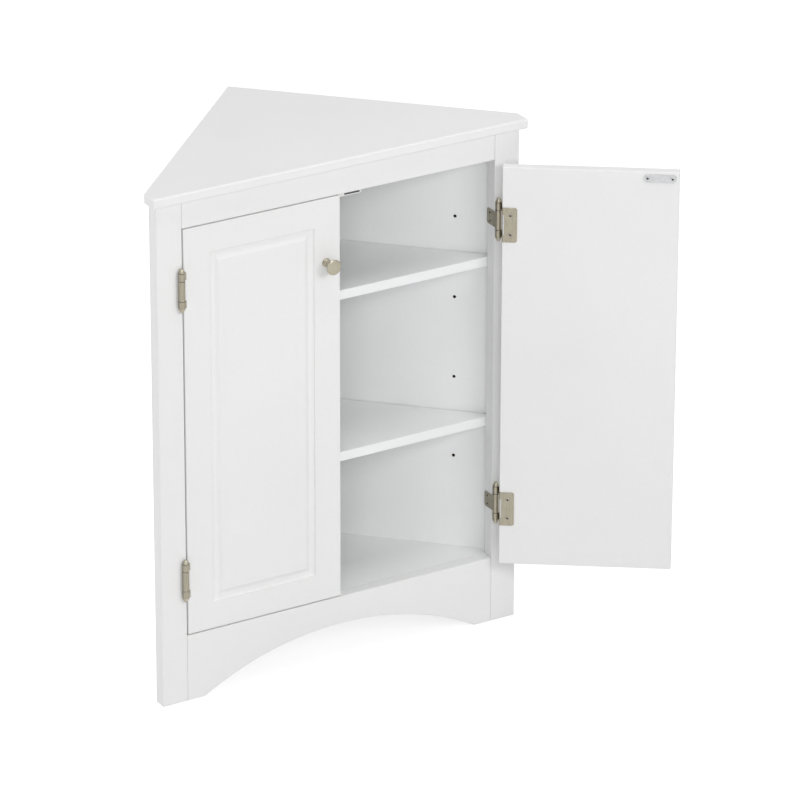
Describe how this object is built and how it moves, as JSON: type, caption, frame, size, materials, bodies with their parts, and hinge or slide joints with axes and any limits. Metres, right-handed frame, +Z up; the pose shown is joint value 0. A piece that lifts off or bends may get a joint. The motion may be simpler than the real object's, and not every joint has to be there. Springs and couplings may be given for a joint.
{
  "type": "corner bathroom cabinet",
  "caption": "Triangular floor-standing corner cabinet with inset doors on wrap-around hinges, loose shelves on pins, a magnetic catch and an arched apron.",
  "frame": {"origin": "on the floor under the rear corner joint of the two side boards, midway through the boards there", "axes": "+Z up, -Y out of the doors, +X to the right when the doors are faced"},
  "size_m": [0.7863, 0.4991, 0.8],
  "materials": {
    "white_satin_paint": "white satin paint on fibreboard",
    "white_board_laminate": "white melamine laminate on chipboard",
    "brushed_nickel": "brushed nickel plating on steel",
    "zinc_plated_steel": "bright zinc plating on steel",
    "white_catch_plastic": "white moulded plastic",
    "dark_magnet": "bare ferrite"
  },
  "bodies": {
    "case": {"top_panel": "white_satin_paint", "top_rail": "white_satin_paint", "arched_apron": "white_satin_paint", "bottom_panel": "white_board_laminate", "left_side_panel": "white_board_laminate", "right_side_panel": "white_board_laminate", "left_stile": "white_satin_paint", "right_stile": "white_satin_paint", "upper_shelf": "white_board_laminate", "lower_shelf": "white_board_laminate", "catch_housing": "white_catch_plastic", "left_catch_magnet": "dark_magnet", "right_catch_magnet": "dark_magnet", "upper_shelf_pin_left_front": "zinc_plated_steel", "upper_shelf_pin_left_rear": "zinc_plated_steel", "upper_shelf_pin_right_front": "zinc_plated_steel", "upper_shelf_pin_right_rear": "zinc_plated_steel", "lower_shelf_pin_left_front": "zinc_plated_steel", "lower_shelf_pin_left_rear": "zinc_plated_steel", "lower_shelf_pin_right_front": "zinc_plated_steel", "lower_shelf_pin_right_rear": "zinc_plated_steel", "left_upper_hinge_frame_leaf": "brushed_nickel", "left_lower_hinge_frame_leaf": "brushed_nickel", "right_upper_hinge_frame_leaf": "brushed_nickel", "right_lower_hinge_frame_leaf": "brushed_nickel", "left_upper_hinge_pin": "brushed_nickel", "left_lower_hinge_pin": "brushed_nickel", "right_upper_hinge_pin": "brushed_nickel", "right_lower_hinge_pin": "brushed_nickel"},
    "left_door": {"left_door_panel": "white_satin_paint", "left_knob": "brushed_nickel", "left_strike_plate": "zinc_plated_steel", "left_upper_hinge_wrap_leaf": "brushed_nickel", "left_lower_hinge_wrap_leaf": "brushed_nickel"},
    "right_door": {"right_door_panel": "white_satin_paint", "right_knob": "brushed_nickel", "right_strike_plate": "zinc_plated_steel", "right_upper_hinge_wrap_leaf": "brushed_nickel", "right_lower_hinge_wrap_leaf": "brushed_nickel"}
  },
  "joints": [
    {"name": "left_door_hinge", "type": "hinge", "parent": "case", "child": "left_door", "pos_m": [-0.2629, -0.31409, 0.42385], "axis": [0, 0, -1], "range_deg": [0, 170]},
    {"name": "right_door_hinge", "type": "hinge", "parent": "case", "child": "right_door", "pos_m": [0.2629, -0.31409, 0.42385], "axis": [0, 0, 1], "range_deg": [-144.65, 25.35]}
  ]
}
